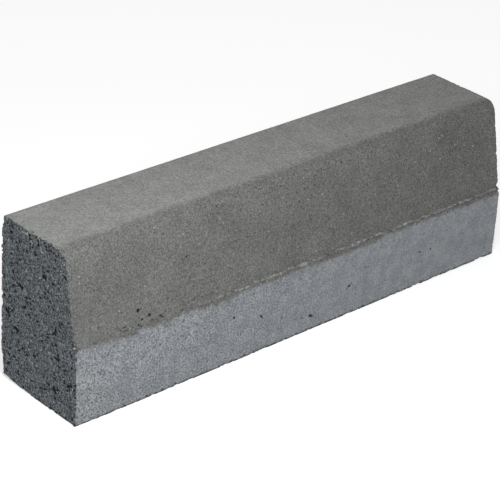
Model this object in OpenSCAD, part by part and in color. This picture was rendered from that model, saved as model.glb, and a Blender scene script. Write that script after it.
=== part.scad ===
// Concrete road kerb stone, cast as one piece, with a battered road face.
//
// Frame: +Z up, X along the kerb, the road face towards -Y. The origin is the
// centre of the flat base. All sizes are in millimetres.

/* [Kerb] */
// Length of one stone along the road
length = 1000; // [250:10:1200]
// Depth of the base, from the back to the road face
base_width = 200; // [180:1:300]
// Overall height
height = 300; // [240:1:400]

/* [Road face] */
// Height of the plumb lower part of the road face
plumb_height = 140; // [60:1:180]
// Depth of the flat ledge above the plumb part
ledge = 6; // [2:0.5:10]
// Depth of the top, back to where the battered face and the top would meet
top_width = 160; // [100:1:165]

/* [Edges] */
// Radius of the long edge between the battered face and the top
nose_radius = 22; // [8:1:40]
// Radius of the long edge between the top and the back
back_radius = 6; // [2:1:15]

/* [Hidden] */
// Segments of a full circle, for both long edges
arc_segments = 96;

back_y = base_width / 2;
road_y = -base_width / 2;
// The corners that the two long edges would have with no radius
nose_corner = [back_y - top_width, height];
back_corner = [back_y, height];
// The inner edge of the ledge, where the battered face starts
batter_foot = [road_y + ledge, plumb_height];

function unit(v) = v / norm(v);

// What rounding takes off a corner of an outline: the tip beyond the arc that
// touches both sides. side_a and side_b point along the sides, away from the corner.
module corner_waste(corner, side_a, side_b, radius) {
    dir_a = unit(side_a);
    dir_b = unit(side_b);
    half_angle = acos(dir_a * dir_b) / 2;
    centre = corner + unit(dir_a + dir_b) * radius / sin(half_angle);
    foot_a = corner + dir_a * radius / tan(half_angle);
    foot_b = corner + dir_b * radius / tan(half_angle);
    difference() {
        // The kite from the centre to the corner, twice its size to cut clear of the outline
        polygon([for (p = [centre, foot_a, corner, foot_b]) centre + (p - centre) * 2]);
        translate(centre) circle(r = radius, $fn = arc_segments);
    }
}

// The whole section, with X as the stone's depth and Y as its height
module section() {
    difference() {
        polygon([
            [back_y, 0],
            [road_y, 0],
            [road_y, plumb_height],
            batter_foot,
            nose_corner,
            back_corner,
        ]);
        corner_waste(nose_corner, back_corner - nose_corner, batter_foot - nose_corner, nose_radius);
        corner_waste(back_corner, nose_corner - back_corner, [0, -1], back_radius);
    }
}

module kerb_stone() {
    color("slategray")
        translate([-length / 2, 0, 0])
            rotate([90, 0, 90])
                linear_extrude(height = length) section();
}

kerb_stone();
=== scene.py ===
"""The looks of a concrete kerb stone, pressed as one block from two mixes of concrete.

A fine, warm grey facing covers the top, the battered face and the ledge. The blue-grey core
shows below the ledge, on both ends, on the back and on the base.

The block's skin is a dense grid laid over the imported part's own section. Waves, open
texture, voids, cracks and chipped arrises are cut into it, always inwards, so that it stays
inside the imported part. Then it is thinned to fewer triangles and given one procedural
material. Sizes are in metres, unless a comment says millimetres.
"""

import itertools
import math

import bpy
import numpy as np
from mathutils import Matrix, Vector


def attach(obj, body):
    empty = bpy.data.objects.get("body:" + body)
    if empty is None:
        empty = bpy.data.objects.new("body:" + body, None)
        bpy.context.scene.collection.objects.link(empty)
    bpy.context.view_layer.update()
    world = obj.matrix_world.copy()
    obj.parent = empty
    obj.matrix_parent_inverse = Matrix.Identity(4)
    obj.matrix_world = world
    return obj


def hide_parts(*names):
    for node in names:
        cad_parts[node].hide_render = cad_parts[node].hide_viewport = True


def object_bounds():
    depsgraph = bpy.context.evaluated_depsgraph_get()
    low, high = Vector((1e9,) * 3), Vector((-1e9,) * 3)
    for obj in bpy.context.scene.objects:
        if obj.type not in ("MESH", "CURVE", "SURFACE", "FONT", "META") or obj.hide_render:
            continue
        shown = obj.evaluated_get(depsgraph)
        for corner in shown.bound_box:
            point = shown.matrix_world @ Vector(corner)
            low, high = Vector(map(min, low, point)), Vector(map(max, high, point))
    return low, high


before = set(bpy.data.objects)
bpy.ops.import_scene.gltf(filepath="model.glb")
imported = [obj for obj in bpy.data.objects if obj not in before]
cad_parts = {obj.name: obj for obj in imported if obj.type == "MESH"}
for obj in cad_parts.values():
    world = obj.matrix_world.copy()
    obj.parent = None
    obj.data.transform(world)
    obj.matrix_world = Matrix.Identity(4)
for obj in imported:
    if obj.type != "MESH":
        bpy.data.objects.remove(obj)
cad_low, cad_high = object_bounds()

NODE = "kerb_stone"
BLOCK = "pressed_block"
MM = 0.001
SEED = 7

HALF_LENGTH = cad_high.x
FRONT = cad_low.y
BACK = cad_high.y
TOP = cad_high.z

# The grid over the skin: squares along the depth and the height, and steps along the length
DEPTH_SQUARES = 110
HEIGHT_SQUARES = 230
STEP_AT_END = 1.4 * MM
STEP_IN_MIDDLE = 2.0 * MM
FINE_REACH = 260 * MM
OUTLINE_SMOOTHING = 12
SHARP_TURN = math.radians(40)
# Two places this close together count as the same
TOUCHING = 0.1 * MM
# Points of the skin that are compared with the outline at one time
BATCH = 4000
MOST_TRIANGLES = 190_000
MAP_GAP = 0.006
PANELS = ("end_left", "end_right", "front", "back", "base", "top")

# Depth of the facing below the top and behind the battered face
FACING_DEPTH = 14 * MM


# ---------------------------------------------------------------- noise

def hashed(cells, seed):
    """A number from 0 to 1 for each row of three whole numbers, the same one each time."""
    mixed = cells @ np.array([73856093, 19349663, 83492791]) + seed * 1013904223
    mixed = (mixed ^ (mixed >> 13)) * 1274126177 & 0xFFFFFFFF
    mixed = (mixed ^ (mixed >> 15)) * 668265263 & 0xFFFFFFFF
    return (mixed ^ (mixed >> 16)) / 0xFFFFFFFF


def noise(points, size, seed):
    """Smooth noise from -1 to 1 at each point, with bumps about size across."""
    scaled = points / size
    cell = np.floor(scaled).astype(np.int64)
    part = scaled - cell
    part = part * part * (3 - 2 * part)
    total = np.zeros(len(points))
    for corner in itertools.product((0, 1), repeat=3):
        weight = np.where(corner, part, 1 - part).prod(1)
        total += weight * (hashed(cell + corner, seed) * 2 - 1)
    return total


def layered(points, size, seed, layers=3):
    """Noise with finer and finer layers, each half as large and half as strong as the last."""
    return sum(noise(points, size / 2**n, seed + n) / 2**n for n in range(layers))


def grains(points, size, seed):
    """Distance from each point to the middle of the nearest grain, as a share of size."""
    scaled = points / size
    cell = np.floor(scaled).astype(np.int64)
    nearest = np.full(len(points), np.inf)
    for step in itertools.product((-1, 0, 1), repeat=3):
        near = cell + step
        middle = near + np.stack([hashed(near, seed + n) for n in range(3)], 1)
        nearest = np.minimum(nearest, ((middle - scaled) ** 2).sum(1))
    return np.sqrt(nearest)


def between(share, low, high):
    """low where share is 0, and high where it is 1."""
    return low + (high - low) * share


def smoothstep(low, high, values):
    """0 below low and 1 above high, with a smooth rise between."""
    share = np.clip((values - low) / (high - low), 0, 1)
    return share * share * (3 - 2 * share)


# ---------------------------------------------------------------- the plain skin

def cad_section():
    """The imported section's corners as (y, z): up the road face, over the top, down the back."""
    points = np.array([v.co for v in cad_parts[NODE].data.vertices])
    end = points[points[:, 0] > HALF_LENGTH - TOUCHING][:, 1:]
    end = np.unique(end.round(6), axis=0)
    # The whole outline can be seen from a point low in the section, so the angles give the order
    sight = end - (0, TOP / 4)
    angle = np.arctan2(sight[:, 1], sight[:, 0])
    just_before_foot = math.atan2(-TOP / 4, FRONT) + math.radians(0.1)
    return end[np.argsort((just_before_foot - angle) % (2 * math.pi))]


def spaced(line, count):
    """count + 1 points evenly along line, with its sharp corners kept, and which are sharp."""
    way = np.diff(line, axis=0)
    station = np.concatenate([[0], np.cumsum(np.linalg.norm(way, axis=1))])
    turn = np.diff(np.unwrap(np.arctan2(way[:, 1], way[:, 0])))
    wanted = np.linspace(0, station[-1], count + 1)
    sharp = np.zeros(count + 1, bool)
    for corner in station[1:-1][np.abs(turn) > SHARP_TURN]:
        nearest = np.abs(wanted - corner).argmin()
        wanted[nearest] = corner
        sharp[nearest] = True
    return np.column_stack([np.interp(wanted, station, line[:, n]) for n in (0, 1)]), sharp


def section_grid(line):
    """The section as a grid of (y, z), by depth and height, fitted to its four sides, and its
    closed outline."""
    nose = (line[:, 1] - line[:, 0]).argmax()
    rear = (line[:, 1] + line[:, 0]).argmax()
    heel = (line[:, 0] - line[:, 1]).argmax()
    sides = [
        spaced(line[:nose + 1], HEIGHT_SQUARES),
        spaced(line[nose:rear + 1], DEPTH_SQUARES),
        spaced(line[rear:heel + 1], HEIGHT_SQUARES),
        spaced(np.stack([line[heel], line[0]]), DEPTH_SQUARES),
    ]
    loop = np.concatenate([points[:-1] for points, _ in sides])
    held = np.concatenate([sharp[:-1] for _, sharp in sides])
    starts = np.cumsum([0, HEIGHT_SQUARES, DEPTH_SQUARES, HEIGHT_SQUARES])
    held[starts[[0, 3]]] = True
    for _ in range(OUTLINE_SMOOTHING):
        eased = (np.roll(loop, 1, 0) + 2 * loop + np.roll(loop, -1, 0)) / 4
        loop = np.where(held[:, None], loop, eased)
    loop = np.concatenate([loop, loop[:1]])
    front = loop[starts[0]:starts[1] + 1]
    top = loop[starts[1]:starts[2] + 1]
    back = loop[starts[2]:starts[3] + 1][::-1]
    base = loop[starts[3]:][::-1]
    u = np.linspace(0, 1, DEPTH_SQUARES + 1)[:, None, None]
    v = np.linspace(0, 1, HEIGHT_SQUARES + 1)[None, :, None]
    across = (1 - u) * front[None] + u * back[None]
    upward = (1 - v) * base[:, None] + v * top[:, None]
    corners = (
        (1 - u) * (1 - v) * front[0] + (1 - u) * v * front[-1]
        + u * (1 - v) * back[0] + u * v * back[-1]
    )
    return across + upward - corners, loop


def length_stations():
    """Places along the length, closer together near both ends."""
    half = [0.0]
    while half[-1] < HALF_LENGTH:
        share = smoothstep(0, FINE_REACH, half[-1])
        half.append(half[-1] + STEP_AT_END + (STEP_IN_MIDDLE - STEP_AT_END) * share)
    half = np.array(half) * HALF_LENGTH / half[-1]
    left = half - HALF_LENGTH
    return np.concatenate([left, -left[-2::-1]])


def skin(stations, section):
    """The closed skin: its points, where each is in the section's grid, its quads and their panels."""
    number = np.full((len(stations), *section.shape[:2]), -1)
    on_skin = np.zeros(number.shape, bool)
    on_skin[[0, -1]] = True
    on_skin[:, [0, -1]] = True
    on_skin[:, :, [0, -1]] = True
    number[on_skin] = np.arange(on_skin.sum())
    along, deep, high = np.nonzero(on_skin)
    points = np.column_stack([stations[along], section[deep, high]])
    sheets = [
        (number[0], True), (number[-1], False),
        (number[:, 0], False), (number[:, -1], True),
        (number[:, :, 0], True), (number[:, :, -1], False),
    ]
    quads, panels = [], []
    for panel, (sheet, flip) in enumerate(sheets):
        quad = np.stack([sheet[:-1, :-1], sheet[1:, :-1], sheet[1:, 1:], sheet[:-1, 1:]], -1)
        quad = quad.reshape(-1, 4)
        quads.append(quad[:, ::-1] if flip else quad)
        panels.append(np.full(len(quad), panel))
    return points, (deep, high), np.concatenate(quads), np.concatenate(panels)


def mesh_from(name, points, quads):
    """A new mesh of those points and quads."""
    mesh = bpy.data.meshes.new(name)
    mesh.vertices.add(len(points))
    mesh.vertices.foreach_set("co", points.astype(np.float32).ravel())
    mesh.loops.add(quads.size)
    mesh.loops.foreach_set("vertex_index", quads.astype(np.int32).ravel())
    mesh.polygons.add(len(quads))
    mesh.polygons.foreach_set("loop_start", np.arange(0, quads.size, 4, dtype=np.int32))
    mesh.update(calc_edges=True)
    mesh.validate()
    return mesh


def read(items, name, kind, width=1):
    """The named values of all the items of a mesh, as one array with a row for each item."""
    values = np.empty(len(items) * width, kind)
    items.foreach_get(name, values)
    return values.reshape(-1, width)


outline = cad_section()
nose_y = outline[(outline[:, 1] - outline[:, 0]).argmax(), 0]
ledge_corner = np.flatnonzero(outline[:, 0] < FRONT + TOUCHING)[-1]
ledge_height = outline[ledge_corner, 1]
ledge_inner = outline[ledge_corner + 1, 0]


# ---------------------------------------------------------------- relief

# Noise that shapes the relief: size of its bumps in millimetres, and a number that sets each
# pattern apart from the others
BUMPS = {
    "arris": (12, 1), "chips": (26, 5), "crumbs": (3.4, 9), "crumbly": (17, 10),
    "foot_front": (16, 20), "foot_back": (16, 30), "slump": (50, 40), "ledge": (11, 41),
    "lip": (25, 44), "lumps": (6, 46), "gaps": (4, 50), "patches": (15, 53),
    "open_sand": (3.6, 54), "swells": (40, 58), "waves": (120, 60), "face_sand": (5, 61),
    "rough_corner": (20, 66), "void_edge": (3.2, 70),
}

# Bite off the arrises round each end, in millimetres: the least, what ragged wear adds and how
# much more of it the soft facing has, the same two for chips, and what crumbs add
NEAR_END_WEAR = (0.7, 1.6, 2.6, 1.6, 2.0, 2.6)
FAR_END_WEAR = (0.455, 1.04, 0.65, 0.39, 0.0, 0.78)
# The concrete turns from core to soft facing this far each side of the ledge
SOFTENING = 20 * MM
# Extra bite where the ledge meets an end, in millimetres, fading over this distance from it
TIP_BITE = 2.5
TIP_FADE = (2 * MM, 10 * MM)
# Worn corners of the ends: the corner, then how far the wear reaches and its bite there, in
# millimetres
WORN_CORNERS = [
    (-HALF_LENGTH, BACK, TOP, 16, 1.5),
    (-HALF_LENGTH, BACK, 0, 75, 7.0),
    (HALF_LENGTH, FRONT, ledge_height, 16, 6.0),
]
# Depth of the crumbs in worn arrises, in millimetres
CRUMB_BITE = 3.4
# Bite off the long edges of the base, in millimetres: at the least, from ragged wear, from crumbs
FOOT_WEAR = (-0.7, 2.4, 1.4)

# The ledge has slumped away to the left of SLUMPED, and turns crisp along CRISP, both by x. The
# slump's end sways by so much, and the slump fades out over this height below the ledge.
SLUMPED = (-0.31, -0.20)
SLUMP_SWAY = 0.03
SLUMP_HEIGHT = 85 * MM
CRISP = (0.02, 0.20)
# Points this near the ledge's height are on it, as far back as where the batter starts
ON_LEDGE = 0.3 * MM
# Bite off the ledge's edge in millimetres: at the least, where crumbly, where crisp, from crumbs,
# and at the far end, with how far that reaches
LEDGE_LEAST = 0.4
LEDGE_RAGGED = (2.8, 2.2)
LEDGE_CRUMBS = 1.6
LEDGE_FAR_TIP = 4
FAR_TIP_REACH = 30 * MM
# Height of the ledge's lip and how it sways, and how far the face is set back below it where
# crumbly and where crisp, all in millimetres
LIP_HEIGHT = 2.2
LIP_SWAY = 1.4
SET_BACK = (0.5, 1.6)
# Height of the lumps on the ledge, in millimetres, where crumbly and where crisp
LUMPS = (5.5, 4.0)

# Depth in millimetres of the open texture: its gaps where sparse and where dense, sand, swells
OPEN_GAPS = (0.5, 1.7)
OPEN_SAND = 1.2
OPEN_SWELLS = 0.5
# Share of the open texture's depth that the finer facing has
FACING_TEXTURE = 0.6
# Depth in millimetres of the moulded faces' waves, and of their sand where fine and where rough
FACE_WAVES = 0.3
FACE_SAND = (0.34, 1.24)
# The middle of the rough corner, and how far it reaches along the three axes
ROUGH_CORNER = (-HALF_LENGTH, FRONT, 0.03)
ROUGH_REACH = (0.07, 0.05, 0.09)
# A point whose moves are this long starts to count as worn, and one that far is all worn
WORN = (0.3 * MM, 1.2 * MM)

# The plainest pits of the road face, at places measured in the photo: x, z and radius, in
# millimetres
NOTED_PITS = [
    (-368, 165, 3.4), (-345, 151, 3.0), (-361, 148, 2.4), (-369, 142, 2.2), (-427, 141, 1.8),
    (-406, 145, 2.0), (-392, 139, 1.8), (-381, 128, 1.8), (-278, 139, 2.0), (-300, 147, 1.6),
    (-164, 87, 2.6), (-99, 67, 3.0), (19, 28, 3.0), (112, 57, 3.4), (291, 69, 2.6), (321, 66, 2.2),
]
# Short cracks in the road face, along lines measured in the photo: radius, then x and z of each
# end, in millimetres. Each is a row of voids this far apart.
CRACK_STEP = 1.2
NOTED_CRACKS = [
    (1.2, (-420, 151), (-411, 148)),
    (1.5, (-401, 147), (-394, 147)),
    (1.2, (-385, 144), (-379, 141)),
    (1.4, (-368, 140), (-361, 136)),
    (1.7, (-325, 145), (-316, 139)),
    (1.2, (-341, 143), (-336, 139)),
    (1.1, (-455, 143), (-447, 144)),
    (1.1, (-451, 161), (-443, 160)),
    (1.4, (-103, 71), (-96, 62)),
    (1.4, (106, 52), (117, 62)),
    (1.4, (13, 32), (25, 25)),
]
# Ragged clusters of voids on the near end, at places measured in the photo: y, z and reach, in
# millimetres
END_CLUSTERS = [
    (-41, 149, 7), (58, 106, 6), (-45, 103, 8), (-41, 43, 9), (-80, 65, 6), (80, 129, 7),
    (52, 191, 10), (-13, 235, 4), (10, 79, 5),
]
VOIDS_PER_CLUSTER = 7
# How far a cluster's voids stray from its middle, as a share of its reach
CLUSTER_SPREAD = 0.45
# Smallest radius of a clustered void and how much larger the largest is, in millimetres
CLUSTER_RADII = (1.5, 2.2)
# Depth of the noted and the clustered voids, as a share of their radius
NOTED_SHARE = 1.1
# Scattered voids of each panel: how many, smallest and largest radius in millimetres, and depth
# as a share of the radius
SCATTERED_VOIDS = {
    "end_left": (1000, 0.7, 2.9, 1.3),
    "end_right": (1000, 0.7, 2.9, 1.3),
    "front": (330, 0.8, 2.0, 0.9),
    "top": (110, 0.8, 1.7, 0.7),
    "back": (280, 0.8, 3.0, 0.7),
    "base": (200, 1.0, 3.0, 0.7),
}
# The higher this is, the fewer of the scattered voids are large
MOSTLY_SMALL = 2.5


def bumps(name):
    """The size and the seed of one of the relief's patterns."""
    size, number = BUMPS[name]
    return size * MM, SEED + number


def inward_at(loop):
    """For each point of the closed outline, the direction into the section."""
    way = np.roll(loop[:-1], -1, 0) - np.roll(loop[:-1], 1, 0)
    way /= np.linalg.norm(way, axis=1)[:, None]
    return np.column_stack([way[:, 1], -way[:, 0]])


def nearest_rim(section, loop):
    """For each place in the section's grid, the index of the nearest point of the outline."""
    flat = section.reshape(-1, 2)
    found = np.empty(len(flat), int)
    for start in range(0, len(flat), BATCH):
        part = flat[start:start + BATCH]
        apart = ((part[:, None] - loop[None, :-1]) ** 2).sum(2)
        found[start:start + BATCH] = apart.argmin(1)
    return found.reshape(section.shape[:2])


def arris_wear(bite, away_a, away_b, into_a, into_b):
    """Moves that cut a bevel of that bite off an arris. away_ is how far each point lies from
    the two faces that meet there, and into_ is the way into the stone from each."""
    cut = np.clip(bite - away_a - away_b, 0, None) / 2
    return cut[:, None] * (np.asarray(into_a) + np.asarray(into_b))


def crumbs(points):
    """Millimetres that crumbling adds to the bite off a worn arris."""
    crumbly = smoothstep(-0.6, 0.5, noise(points, *bumps("crumbly")))
    return CRUMB_BITE * crumbly * np.clip(noise(points, *bumps("crumbs")), -0.1, None)


def end_wear(points, rim, inward):
    """Crumbled arrises all round both ends, worse along the softer facing."""
    away_end = HALF_LENGTH - np.abs(points[:, 0])
    away_rim = np.linalg.norm(points[:, 1:] - rim, axis=1)
    side = np.sign(points[:, :1])
    at_arris = np.hstack([side * HALF_LENGTH, rim])
    wear = np.where(side < 0, NEAR_END_WEAR, FAR_END_WEAR).T
    least, ragged, ragged_soft, chips, chips_soft, crumbly = wear
    soft = smoothstep(ledge_height - SOFTENING, ledge_height + SOFTENING, rim[:, 1])
    ragged = (ragged + ragged_soft * soft) * np.clip(layered(at_arris, *bumps("arris")), 0, None)
    chips = (chips + chips_soft * soft) * smoothstep(0.25, 0.7, noise(at_arris, *bumps("chips")))
    tip = 1 - smoothstep(*TIP_FADE, np.abs(rim[:, 1] - ledge_height))
    bite = least + ragged + chips + crumbly * crumbs(points) + TIP_BITE * tip
    for *corner, reach, most in WORN_CORNERS:
        away = np.linalg.norm(at_arris - corner, axis=1)
        bite += most * (1 - smoothstep(0, reach * MM, away))
    into_end = np.hstack([-side, np.zeros_like(rim)])
    into_side = np.hstack([np.zeros_like(side), inward])
    return arris_wear(bite * MM, away_end, away_rim, into_end, into_side)


def foot_wear(points):
    """Small knocks along both long edges of the base."""
    along = points * (1, 0, 0)
    least, ragged, crumbly = FOOT_WEAR
    moves = np.zeros_like(points)
    for y, into, pattern in ((FRONT, 1, "foot_front"), (BACK, -1, "foot_back")):
        rough = np.clip(layered(along, *bumps(pattern)), 0, None)
        bite = (least + ragged * rough + crumbly * crumbs(points)) * MM
        moves += arris_wear(bite, points[:, 2], np.abs(points[:, 1] - y), (0, 0, 1), (0, into, 0))
    return moves


def on_ledge(points):
    """Whether each point of the plain skin lies on top of the ledge."""
    level = np.abs(points[:, 2] - ledge_height) < ON_LEDGE
    return level & (points[:, 1] < ledge_inner + ON_LEDGE)


def ledge_stands(points):
    """0 where the ledge has slumped away on the left, and 1 where it stands."""
    sway = SLUMP_SWAY * noise(points * (1, 0, 0), *bumps("slump"))
    return smoothstep(*SLUMPED, points[:, 0] + sway)


def slumped_normals(points, normals):
    """The plain skin's normals, but outward from the road face where the ledge has slumped."""
    share = (on_ledge(points) * (1 - ledge_stands(points)))[:, None]
    return normals * (1 - share) + share * np.array([0, -1, 0])


def ledge_wear(points):
    """The ledge: slumped away on the left, then a crumbly lip that turns crisp on the right."""
    along = points * (1, 0, 0)
    stands = ledge_stands(points)
    crisp = smoothstep(*CRISP, points[:, 0])
    ledge_depth = ledge_inner - FRONT
    below = ledge_height - points[:, 2]
    behind = points[:, 1] - FRONT
    not_above = below > -TOUCHING / 2

    slump = (1 - stands) * ledge_depth * (1 - smoothstep(0, SLUMP_HEIGHT, below))
    slump = np.where(not_above, np.clip(slump - behind, 0, None), 0)

    ragged = between(crisp, *LEDGE_RAGGED) * np.clip(layered(along, *bumps("ledge")), 0, None)
    far_tip = LEDGE_FAR_TIP * smoothstep(HALF_LENGTH - FAR_TIP_REACH, HALF_LENGTH, points[:, 0])
    bite = LEDGE_LEAST + ragged + LEDGE_CRUMBS * crumbs(points) + far_tip
    bite = np.where(not_above, bite * MM, 0) * stands
    moves = arris_wear(bite, np.abs(below), behind, (0, 0, -1), (0, 1, 0))

    lip = (LIP_HEIGHT + LIP_SWAY * noise(along, *bumps("lip"))) * MM
    under = smoothstep(0, 1.6 * MM, below - lip) * (1 - smoothstep(10 * MM, 60 * MM, below))
    at_face = 1 - smoothstep(0, 25 * MM, behind)
    set_back = between(crisp, *SET_BACK) * MM * stands * under * at_face

    lumps = np.where(on_ledge(points), np.clip(noise(points, *bumps("lumps")), -0.4, 1), 0)
    rise = between(crisp, *LUMPS) * MM * lumps * stands * between(behind / ledge_depth, 0.3, 1)
    return moves + np.column_stack([np.zeros_like(slump), slump + set_back, rise])


def open_texture(points, facing):
    """Depth of the open, grainy texture of broken concrete, finer in the facing."""
    dense = smoothstep(-0.5, 0.5, noise(points, *bumps("patches")))
    gaps = between(dense, *OPEN_GAPS) * smoothstep(0.5, 0.9, grains(points, *bumps("gaps")))
    sand = OPEN_SAND * (layered(points, *bumps("open_sand")) * 0.5 + 0.5)
    swells = OPEN_SWELLS * (noise(points, *bumps("swells")) * 0.5 + 0.5)
    return (gaps + sand + swells) * between(facing, 1, FACING_TEXTURE) * MM


def rough_corner(points):
    """1 at the foot of the road face's left end, where the core's skin is coarse."""
    away = np.linalg.norm((points - ROUGH_CORNER) / ROUGH_REACH, axis=1)
    return 1 - smoothstep(0.5, 1.0, away + 0.2 * noise(points, *bumps("rough_corner")))


def face_texture(points):
    """Depth of the slight waves and the sandy skin of the moulded faces."""
    waves = FACE_WAVES * (noise(points, *bumps("waves")) * 0.5 + 0.5)
    sand = layered(points, *bumps("face_sand")) * 0.5 + 0.5
    return (waves + between(rough_corner(points), *FACE_SAND) * sand) * MM


def void_depth(points, centres, radii, shares):
    """How deep each point lies in the bowl-shaped voids."""
    size, seed = bumps("void_edge")
    jitter = np.stack([noise(points, size, seed + n) for n in range(3)], 1)
    shifted = points + jitter * MM
    order = np.argsort(shifted[:, 0])
    shifted = shifted[order]
    depth = np.zeros(len(points))
    for centre, radius, share in zip(centres, radii, shares, strict=True):
        first, last = np.searchsorted(shifted[:, 0], (centre[0] - radius, centre[0] + radius))
        away = np.linalg.norm(shifted[first:last] - centre, axis=1) / radius
        bowl = radius * share * np.sqrt(np.clip(1 - away * away, 0, 1))
        near = order[first:last]
        depth[near] = np.maximum(depth[near], bowl)
    return depth


def noted_voids():
    """The measured pits and cracks of the road face, as rows of x, z and radius."""
    rows = list(NOTED_PITS)
    for radius, (x_a, z_a), (x_b, z_b) in NOTED_CRACKS:
        steps = math.ceil(math.hypot(x_b - x_a, z_b - z_a) / CRACK_STEP)
        way = np.linspace(0, 1, steps + 1)[:, None]
        rows.extend((*place, radius) for place in (x_a, z_a) + way * (x_b - x_a, z_b - z_a))
    return np.array(rows) * MM


def clustered_voids(rng):
    """Middles and radii of the near end's clustered voids."""
    y, z, reach = (np.repeat(END_CLUSTERS, VOIDS_PER_CLUSTER, 0) * MM).T
    across, up = rng.normal(0, CLUSTER_SPREAD, (2, len(reach))) * reach
    middles = np.column_stack([np.full(len(reach), -HALF_LENGTH), y + across, z + up])
    smallest, more = CLUSTER_RADII
    return middles, (smallest + more * rng.random(len(reach))) * MM


def voids(points, panel_points):
    """The noted, clustered and scattered voids together: how deep each point lies in them."""
    rng = np.random.default_rng(SEED)
    front = points[panel_points["front"]]
    spots = noted_voids()
    centres = [front[np.abs(front[:, [0, 2]] - spot[:2]).sum(1).argmin()] for spot in spots]
    clustered, clustered_radii = clustered_voids(rng)
    centres.extend(clustered)
    radii = [spots[:, 2], clustered_radii]
    shares = [np.full(len(centres), NOTED_SHARE)]
    for panel, (count, smallest, largest, share) in SCATTERED_VOIDS.items():
        centres.extend(points[rng.choice(panel_points[panel], count)])
        radii.append(between(rng.random(count) ** MOSTLY_SMALL, smallest, largest) * MM)
        shares.append(np.full(count, share))
    return void_depth(points, centres, np.concatenate(radii), np.concatenate(shares))


def facing_share(points):
    """1 in the facing and 0 in the core, by depth below the top and behind the battered face."""
    batter = np.interp(points[:, 2], [ledge_height, TOP], [ledge_inner, nose_y])
    behind = np.where(points[:, 2] > ledge_height, points[:, 1] - batter, FACING_DEPTH * 2)
    under = np.minimum(TOP - points[:, 2], behind)
    return 1 - smoothstep(FACING_DEPTH - 3 * MM, FACING_DEPTH + 3 * MM, under)


def carved_skin():
    """The skin's points with all its relief, its quads and their panels, and marks for the
    material: how hollow in millimetres, how broken and how worn the concrete is at each point."""
    section, loop = section_grid(outline)
    points, places, quads, panels = skin(length_stations(), section)
    plain = mesh_from("plain", points, quads)
    normals = slumped_normals(points, read(plain.vertex_normals, "vector", np.float32, 3).astype(float))
    nearest = nearest_rim(section, loop)[places]
    rim, inward = loop[nearest], inward_at(loop)[nearest]
    moves = end_wear(points, rim, inward) + foot_wear(points)
    worn = smoothstep(*WORN, np.linalg.norm(moves, axis=1))
    broken = np.maximum(normals[:, 0] ** 2, worn)
    texture = broken * open_texture(points, facing_share(points))
    texture += (1 - broken) * face_texture(points)
    by_panel = {name: np.unique(quads[panels == n]) for n, name in enumerate(PANELS)}
    hollow = voids(points, by_panel)
    carved = points + moves + ledge_wear(points) - normals * np.maximum(texture, hollow)[:, None]
    marks = {"hollow": hollow / MM, "broken": broken, "worn": worn}
    return np.clip(carved, cad_low, cad_high), quads, panels, marks


# ---------------------------------------------------------------- the block

def thinned(block):
    """The block's mesh, with fewer triangles where the surface is plain."""
    block.data.calc_loop_triangles()
    modifier = block.modifiers.new("thin", "DECIMATE")
    modifier.ratio = MOST_TRIANGLES / len(block.data.loop_triangles)
    evaluated = block.evaluated_get(bpy.context.evaluated_depsgraph_get())
    mesh = bpy.data.meshes.new_from_object(evaluated)
    block.modifiers.clear()
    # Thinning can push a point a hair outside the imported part
    inside = np.clip(read(mesh.vertices, "co", np.float32, 3), cad_low, cad_high)
    mesh.vertices.foreach_set("co", inside.astype(np.float32).ravel())
    return mesh


def bake_map(mesh):
    """Lays each panel flat on the map that the model is baked to, at one metre across it."""
    corner = read(mesh.loops, "vertex_index", np.int32)[:, 0]
    x, y, z = (read(mesh.vertices, "co", np.float32, 3)[corner] - cad_low).T
    panel = read(mesh.attributes["panel"].data, "value", np.int32)[:, 0]
    panel = np.repeat(panel, read(mesh.polygons, "loop_total", np.int32)[:, 0])
    flat = {
        "front": (x, z + y),
        "top": (x, y - z),
        "back": (x, z / 2),
        "base": (x, y / 2),
        "end_left": (z, y),
        "end_right": (z + (TOP + MAP_GAP), y),
    }
    across, up = np.zeros(len(x)), np.zeros(len(x))
    shelf = 0.0
    for name, sheet in flat.items():
        here = panel == PANELS.index(name)
        right, rise = (values[here] for values in sheet)
        across[here] = right
        up[here] = rise - rise.min() + shelf
        # The two ends lie side by side
        if name != "end_left":
            shelf = up[here].max() + MAP_GAP
    across = MAP_GAP + across / across.max() * (1 - 2 * MAP_GAP)
    up = MAP_GAP + up / up.max() * (1 - 2 * MAP_GAP)
    mesh.uv_layers.new(name="OFBake").data.foreach_set("uv", np.stack([across, up], 1).ravel())


def build_block():
    """The carved, thinned block, with the marks and the map that its material and bake need."""
    points, quads, panels, marks = carved_skin()
    mesh = mesh_from(BLOCK, points, quads)
    for name, values in marks.items():
        mesh.attributes.new(name, "FLOAT", "POINT").data.foreach_set("value", values)
    mesh.attributes.new("panel", "INT", "FACE").data.foreach_set("value", panels.astype(np.int32))
    block = bpy.data.objects.new(BLOCK, mesh)
    bpy.context.scene.collection.objects.link(block)
    block.data = thinned(block)
    bake_map(block.data)
    block.data.shade_smooth()
    return block


# ---------------------------------------------------------------- material

def linear(red, green, blue):
    """A display colour, each from 0 to 255, as the linear colour that a shader takes."""
    return (*(((c / 255 + 0.055) / 1.055) ** 2.4 for c in (red, green, blue)), 1.0)


# The facing, a painted highlight along the lit lip of its ledge and a painted shadow below that lip
FACING_DARK = linear(72, 73, 71)
FACING_PALE = linear(140, 141, 138)
FACING_GRAIN = linear(165, 165, 158)
FACING_PORE = linear(56, 56, 53)
LIP_HIGHLIGHT = linear(164, 164, 158)
LIP_SHADOW = linear(52, 52, 49)
# How much brighter the crown is than the rest of the facing
CROWN_PALER = 1.70
# The core, with its coarse corner and its grittier left part
CORE = linear(140, 144, 149)
CORE_PALE = linear(156, 159, 163)
CORE_GRAIN = linear(182, 185, 188)
CORE_PORE = linear(74, 77, 81)
GRITTY = linear(172, 172, 172)
GRIT_GRAIN = linear(186, 188, 190)
GRIT_PORE = linear(88, 91, 94)
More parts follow.
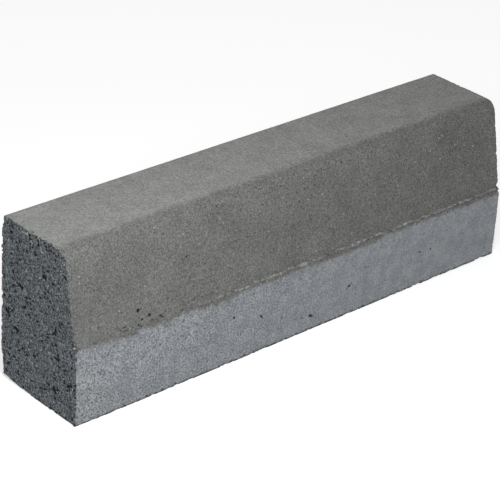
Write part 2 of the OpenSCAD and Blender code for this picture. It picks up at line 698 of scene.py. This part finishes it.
# The broken ends and the crumbled arrises
BROKEN_DARK = linear(46, 51, 54)
BROKEN_PALE = linear(148, 154, 159)
BROKEN_GRAIN = linear(208, 213, 216)
BROKEN_GAP = linear(20, 21, 23)
WORN_GRAIN = linear(176, 180, 176)
# Dark specks along the worn arrises: crumbled notches, darkened with painted shade
WORN_NOTCH_SHADE = linear(34, 39, 39)
# The higher this is, the harder the edges of the specks
SPECK_SHARPNESS = 4.0
# Painted shade in the voids: they darken from the first depth to the second, in millimetres, down to
# this share
HOLLOW_DEPTHS = (0.3, 1.6)
HOLLOW_SHADE = 0.12
# Height of the finest grain, which is bump: on the moulded faces and on broken concrete
FACE_BUMP = 1.3 * MM
BROKEN_BUMP = 3.0 * MM


class Recipe:
    """A material, and short ways to add linked nodes to it."""

    def __init__(self, name):
        self.material = bpy.data.materials.new(name)
        self.material.use_nodes = True
        self.tree = self.material.node_tree
        self.shader = self.tree.nodes["Principled BSDF"]
        self.place = self.add("ShaderNodeTexCoord", {}, "Object")
        swirl = self.add("ShaderNodeTexNoise", {"Vector": self.place, "Scale": 1 / (4 * MM)}, "Color")
        swirl = self.add("ShaderNodeVectorMath", {0: swirl, 1: (0.5, 0.5, 0.5)}, operation="SUBTRACT")
        self.warped = self.add("ShaderNodeVectorMath", {0: self.scaled(swirl, 6 * MM), 1: self.place})

    def add(self, kind, inputs, output=0, **settings):
        """Adds a node, sets or links its inputs, and gives its output."""
        node = self.tree.nodes.new(kind)
        for key, value in settings.items():
            setattr(node, key, value)
        for key, value in inputs.items():
            if isinstance(value, bpy.types.NodeSocket):
                self.tree.links.new(value, node.inputs[key])
            else:
                node.inputs[key].default_value = value
        return node.outputs[output]

    def sum(self, operation, *values, clamp=False):
        """One arithmetic step, such as ADD or MULTIPLY."""
        return self.add("ShaderNodeMath", dict(enumerate(values)), operation=operation, use_clamp=clamp)

    def span(self, value, low, high, to_low=0.0, to_high=1.0, smooth=True):
        """value taken from the range low to high into the range to_low to to_high."""
        inputs = {"Value": value, "From Min": low, "From Max": high, "To Min": to_low, "To Max": to_high}
        kind = "SMOOTHSTEP" if smooth else "LINEAR"
        return self.add("ShaderNodeMapRange", inputs, interpolation_type=kind)

    def moved(self, place, seed):
        """place moved away, so that each seed gives another pattern."""
        away = {0: place, 1: (seed * 1.7, seed * 0.9, seed * 2.3)}
        return self.add("ShaderNodeVectorMath", away, operation="ADD")

    def noise(self, size, seed, detail=2.0, roughness=0.5):
        """Soft noise from 0 to 1, about a half, with bumps of about that size."""
        inputs = {"Vector": self.moved(self.place, seed), "Scale": 1 / size}
        inputs |= {"Detail": detail, "Roughness": roughness}
        return self.add("ShaderNodeTexNoise", inputs)

    def cells(self, size, seed):
        """A pattern of cells: the distance from each one's middle, and its own random number."""
        inputs = {"Vector": self.moved(self.warped, seed), "Scale": 1 / size}
        distance = self.add("ShaderNodeTexVoronoi", inputs)
        colour = distance.node.outputs["Color"]
        return distance, self.add("ShaderNodeSeparateColor", {"Color": colour})

    def specks(self, spacing, radius, share, seed):
        """1 in scattered specks of up to that radius. share says how many cells hold one."""
        distance, chance = self.cells(spacing, seed)
        reach = self.span(chance, 1 - share, 1.0, 0.0, radius / spacing, smooth=False)
        inside = self.sum("SUBTRACT", reach, distance)
        return self.sum("MULTIPLY", inside, SPECK_SHARPNESS * spacing / radius, clamp=True)

    def tone(self, value, spread):
        """A factor about 1, from noise about a half: spread is how far it swings."""
        return self.sum("MULTIPLY_ADD", self.sum("SUBTRACT", value, 0.5), spread, 1.0)

    def scaled(self, colour, factor):
        """colour, made brighter or darker by that factor."""
        return self.add("ShaderNodeVectorMath", {0: colour, "Scale": factor}, operation="SCALE")

    def mix(self, share, first, second):
        """The first colour where share is 0, and the second where it is 1."""
        inputs = {0: share, 6: first, 7: second}
        return self.add("ShaderNodeMix", inputs, 2, data_type="RGBA")


def facing_colour(r, crown, lip_highlight, lip_shadow, along):
    """Fine sandy facing: warm grey, paler on the crown, with a painted highlight along the lit lip of
    the ledge, painted shadow below that lip, and painted light that is brighter towards the left end.
    """
    calm = r.span(crown, 0, 1, 1, 0.68, smooth=False)
    sand = r.span(r.noise(3.0 * MM, 1, 3, 0.8), 0.33, 0.67, smooth=False)
    sand = r.sum("SUBTRACT", r.tone(sand, calm), 0.5)
    colour = r.mix(sand, FACING_DARK, FACING_PALE)
    colour = r.scaled(colour, r.tone(r.noise(50 * MM, 2, 4, 0.6), 0.6))
    colour = r.scaled(colour, r.span(crown, 0, 1, 1, CROWN_PALER, smooth=False))
    # Painted light: the facing is lit brighter towards the left end and darker towards the right
    colour = r.scaled(colour, r.span(along, 0, 1, 1.09, 0.98, smooth=False))
    pale = r.sum("MULTIPLY", calm, r.specks(8 * MM, 2.0 * MM, 0.45, 3))
    colour = r.mix(pale, colour, FACING_GRAIN)
    dark = r.sum("MULTIPLY", calm, r.specks(9 * MM, 1.9 * MM, 0.35, 4))
    colour = r.mix(dark, colour, FACING_PORE)
    # Painted highlight: the lit top of the ledge's lip, made paler
    colour = r.mix(lip_highlight, colour, LIP_HIGHLIGHT)
    # Painted shadow: a dark line just below the ledge's lip
    return r.mix(lip_shadow, colour, LIP_SHADOW)


def core_colour(r, coarse, gritted):
    """Core: blue-grey, clouded with paler lime, with small dark pores, grittier to the left."""
    swing = r.span(gritted, 0, 1, 2.2, 4.6, smooth=False)
    sand = r.tone(r.noise(3.2 * MM, 5, 4, 0.8), r.sum("MULTIPLY_ADD", coarse, 2.4, swing))
    clouds = r.span(r.noise(24 * MM, 6, 4, 0.65), 0.35, 0.65)
    colour = r.scaled(r.mix(clouds, CORE, CORE_PALE), sand)
    gritty = r.sum("MULTIPLY", coarse, r.span(r.noise(5 * MM, 17, 3, 0.7), 0.4, 0.65))
    colour = r.mix(r.sum("MULTIPLY", gritty, 0.6), colour, GRITTY)
    colour = r.mix(r.specks(8 * MM, 2.0 * MM, 0.35, 7), colour, CORE_GRAIN)
    extra = r.sum("MULTIPLY", gritted, r.specks(7 * MM, 2.2 * MM, 0.4, 25))
    colour = r.mix(extra, colour, GRIT_GRAIN)
    extra = r.sum("MULTIPLY", gritted, r.specks(7 * MM, 2.0 * MM, 0.4, 26))
    colour = r.mix(extra, colour, GRIT_PORE)
    return r.mix(r.specks(10 * MM, 2.0 * MM, 0.4, 8), colour, CORE_PORE)


def broken_colour(r):
    """Open, broken concrete: dark slate, grainy, with pale grains and darker gaps."""
    _, chance = r.cells(2.2 * MM, 9)
    sand = r.tone(r.noise(2.3 * MM, 10, 3, 0.8), 4.2)
    colour = r.scaled(r.mix(chance, BROKEN_DARK, BROKEN_PALE), sand)
    cluster = r.span(r.noise(26 * MM, 27, 3, 0.7), 0.5, 0.62, 0.35, 1.0)
    pale = r.sum("MULTIPLY", cluster, r.specks(4.6 * MM, 2.2 * MM, 0.5, 11))
    colour = r.mix(pale, colour, BROKEN_GRAIN)
    dark = r.sum("MULTIPLY", cluster, r.specks(5 * MM, 2.1 * MM, 0.42, 21))
    return r.mix(dark, colour, BROKEN_GAP)


def worn_colour(r, worn, colour):
    """colour with the pale grains of a crumbled arris and the painted shade of its dark notches, where
    worn.
    """
    # Painted shade in the notches of the crumbled arrises
    dark = r.span(r.noise(4.2 * MM, 28, 2, 0.6), 0.46, 0.56, 0, 0.9)
    colour = r.mix(r.sum("MULTIPLY", worn, dark), colour, WORN_NOTCH_SHADE)
    pale = r.span(r.noise(3.4 * MM, 29, 2, 0.6), 0.55, 0.62, 0, 0.9)
    return r.mix(r.sum("MULTIPLY", worn, pale), colour, WORN_GRAIN)


def stone_zones(r):
    """Where the facing, its crown, the painted highlight on the ledge's lit lip and the painted shadow
    under it, and the core's coarse corner and grittier left part lie, and how far along the stone each
    place is."""
    x, y, z = r.add("ShaderNodeSeparateXYZ", {0: r.place}).node.outputs
    spill = r.span(r.noise(70 * MM, 13, 3), 0.35, 0.65, 8 * MM, 15 * MM)
    spill = r.sum("MULTIPLY", spill, r.span(x, -0.5, -0.38, 0.2, 1.0))
    fuzz = r.sum("MULTIPLY_ADD", r.noise(9 * MM, 22, 4, 0.8), 34 * MM, -17 * MM)
    under_ledge = r.sum("SUBTRACT", ledge_height, z)
    over_core = r.sum("SUBTRACT", r.sum("ADD", spill, fuzz), under_ledge)
    batter = r.span(z, ledge_height, TOP, ledge_inner, nose_y, smooth=False)
    behind = r.sum("SUBTRACT", r.sum("ADD", batter, FACING_DEPTH), y)
    in_front = r.sum("MINIMUM", over_core, behind)
    under_top = r.sum("SUBTRACT", z, TOP - FACING_DEPTH)
    facing = r.span(r.sum("MAXIMUM", in_front, under_top), -5 * MM, 5 * MM)
    sway = r.sum("MULTIPLY_ADD", r.noise(30 * MM, 18, 3), 12 * MM, -6 * MM)
    crown = r.span(r.sum("ADD", y, sway), nose_y + 7 * MM, nose_y + 29 * MM)
    there = r.span(x, -0.30, -0.20)
    crisp = r.span(x, 0.05, 0.2, 0, 0.3)
    grain = r.sum("MAXIMUM", crisp, r.span(r.noise(6 * MM, 19, 3, 0.7), 0.47, 0.58))
    wander = r.sum("MULTIPLY_ADD", r.noise(13 * MM, 23, 3), 18 * MM, -9 * MM)
    from_lip = r.sum("ABSOLUTE", r.sum("ADD", under_ledge, wander))
    on_lip = r.span(from_lip, 1.2 * MM, 3.0 * MM, 1, 0)
    on_lip = r.sum("MULTIPLY", on_lip, r.span(y, FRONT + 3 * MM, FRONT + 5 * MM, 1, 0))
    # Painted highlight along the lit lip of the ledge, broken into grains, from x -0.30 rightwards
    lip_highlight = r.sum("MULTIPLY", r.sum("MULTIPLY", on_lip, grain), there)
    gap = r.span(r.noise(7 * MM, 20, 3, 0.7), 0.52, 0.64)
    gap = r.sum("MULTIPLY", r.sum("MAXIMUM", gap, crisp), r.sum("MULTIPLY", there, 0.8))
    below_lip = r.sum("ADD", under_ledge, wander)
    near_lip = r.span(below_lip, 2.2 * MM, 3.2 * MM)
    near_lip = r.sum("MULTIPLY", near_lip, r.span(below_lip, 4.5 * MM, 7 * MM, 1, 0))
    # Painted shadow in a thin, broken line just below the ledge's lip
    lip_shadow = r.sum("MULTIPLY", near_lip, gap)
    coarse = r.sum("MULTIPLY", r.span(x, -0.47, -0.40, 1, 0), r.span(z, 0.07, 0.12, 1, 0))
    gritted = r.span(x, -0.35, 0.32, 1, 0)
    along = r.span(x, -0.5, 0.5, smooth=False)
    return facing, crown, lip_highlight, lip_shadow, coarse, gritted, along


def foot_shade(r):
    """A factor that darkens the ragged last few millimetres above the ground: a painted contact shadow.
    """
    height = r.add("ShaderNodeSeparateXYZ", {0: r.place}).node.outputs[2]
    ragged = r.sum("MULTIPLY_ADD", r.noise(9 * MM, 30, 3, 0.7), -20 * MM, 10 * MM)
    return r.span(r.sum("ADD", height, ragged), 1 * MM, 5 * MM, 0.2, 1.0)


def concrete():
    """The whole stone's material: facing, core and open ends, by where they lie."""
    r = Recipe("concrete")
    facing, crown, lip_highlight, lip_shadow, coarse, gritted, along = stone_zones(r)
    broken = r.add("ShaderNodeAttribute", {}, "Fac", attribute_name="broken")
    hollow = r.add("ShaderNodeAttribute", {}, "Fac", attribute_name="hollow")
    worn = r.add("ShaderNodeAttribute", {}, "Fac", attribute_name="worn")
    core = core_colour(r, coarse, gritted)
    colour = r.mix(facing, core, facing_colour(r, crown, lip_highlight, lip_shadow, along))
    colour = worn_colour(r, worn, r.mix(broken, colour, broken_colour(r)))
    # Painted contact shadow along the foot
    colour = r.scaled(colour, foot_shade(r))
    # Painted shade in the voids: the deeper, the darker
    colour = r.scaled(colour, r.span(hollow, *HOLLOW_DEPTHS, 1.0, HOLLOW_SHADE))
    r.tree.links.new(colour, r.shader.inputs["Base Color"])
    fine = r.sum("MULTIPLY", r.noise(3.0 * MM, 14, 4, 0.7), FACE_BUMP)
    open_grain = r.sum("MULTIPLY", r.noise(3.6 * MM, 15, 4, 0.7), BROKEN_BUMP)
    height = r.add("ShaderNodeMix", {0: broken, 2: fine, 3: open_grain}, data_type="FLOAT")
    bump = r.add("ShaderNodeBump", {"Height": height, "Distance": 1.0, "Strength": 1.0})
    r.tree.links.new(bump, r.shader.inputs["Normal"])
    rough = r.span(r.noise(4 * MM, 16), 0.3, 0.7, 0.82, 0.98)
    r.tree.links.new(rough, r.shader.inputs["Roughness"])
    r.shader.inputs["Specular IOR Level"].default_value = 0.3
    return r.material


# ---------------------------------------------------------------- stage, light and camera

# The camera, fitted to the photo: its place, its angles in degrees and its lens in millimetres
CAMERA_PLACE = (-2.273, -2.291, 1.842)
CAMERA_AZIMUTH = -44.25
CAMERA_ELEVATION = 28.10
CAMERA_ROLL = 4.02
CAMERA_LENS = 150.7
WORLD_STRENGTH = 0.47
# The key light: where it is, what it faces, its diameter and its power in watts
KEY_PLACE = (-0.70, -0.85, 1.10)
KEY_TARGET = (-0.05, 0, 0.15)
KEY_SIZE = 0.6
KEY_POWER = 10.8
# The floor: half its side, and a glow that keeps the background pale
FLOOR_REACH = 6
FLOOR_COLOUR = (0.85, 0.85, 0.85, 1)
FLOOR_GLOW = 0.5


def place_camera():
    """The camera at the photo's angle."""
    camera = bpy.data.objects.new("camera", bpy.data.cameras.new("camera"))
    bpy.context.scene.collection.objects.link(camera)
    azimuth, elevation = math.radians(CAMERA_AZIMUTH), math.radians(CAMERA_ELEVATION)
    back = Vector((
        math.sin(azimuth) * math.cos(elevation),
        -math.cos(azimuth) * math.cos(elevation),
        math.sin(elevation),
    ))
    level = back.to_track_quat("Z", "Y").to_matrix()
    camera.matrix_world = (
        Matrix.Translation(CAMERA_PLACE)
        @ (level @ Matrix.Rotation(math.radians(CAMERA_ROLL), 3, "Z")).to_4x4()
    )
    camera.data.lens = CAMERA_LENS
    bpy.context.scene.camera = camera


def soft_light(name, place, target, size, power):
    """A round area light that faces the target."""
    light = bpy.data.lights.new(name, "AREA")
    light.shape = "DISK"
    light.size = size
    light.energy = power
    lamp = bpy.data.objects.new(name, light)
    bpy.context.scene.collection.objects.link(lamp)
    lamp.location = place
    lamp.visible_camera = False
    lamp.rotation_euler = (Vector(place) - Vector(target)).to_track_quat("Z", "Y").to_euler()


def light_studio():
    """An even white surround, one key light above the near corner, and plain display colours."""
    world = bpy.data.worlds.new("studio")
    bpy.context.scene.world = world
    world.use_nodes = True
    world.node_tree.nodes["Background"].inputs["Color"].default_value = (1, 1, 1, 1)
    world.node_tree.nodes["Background"].inputs["Strength"].default_value = WORLD_STRENGTH
    soft_light("key", KEY_PLACE, KEY_TARGET, KEY_SIZE, KEY_POWER)
    bpy.context.scene.view_settings.view_transform = "Standard"


def lay_floor():
    """The plain pale floor, which glows a little and throws no diffuse light at the stone."""
    mesh = bpy.data.meshes.new("floor")
    sides = ((-1, -1), (1, -1), (1, 1), (-1, 1))
    mesh.from_pydata([(FLOOR_REACH * x, FLOOR_REACH * y, 0) for x, y in sides], [], [(0, 1, 2, 3)])
    floor = bpy.data.objects.new("floor", mesh)
    bpy.context.scene.collection.objects.link(floor)
    material = bpy.data.materials.new("floor_white")
    material.use_nodes = True
    shader = material.node_tree.nodes["Principled BSDF"]
    shader.inputs["Base Color"].default_value = FLOOR_COLOUR
    shader.inputs["Roughness"].default_value = 0.9
    shader.inputs["Emission Color"].default_value = (1, 1, 1, 1)
    shader.inputs["Emission Strength"].default_value = FLOOR_GLOW
    floor.visible_diffuse = False
    floor.data.materials.append(material)


block = build_block()
place_camera()
light_studio()
lay_floor()

block.data.materials.clear()
block.data.materials.append(concrete())

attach(block, "root")
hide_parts(NODE)
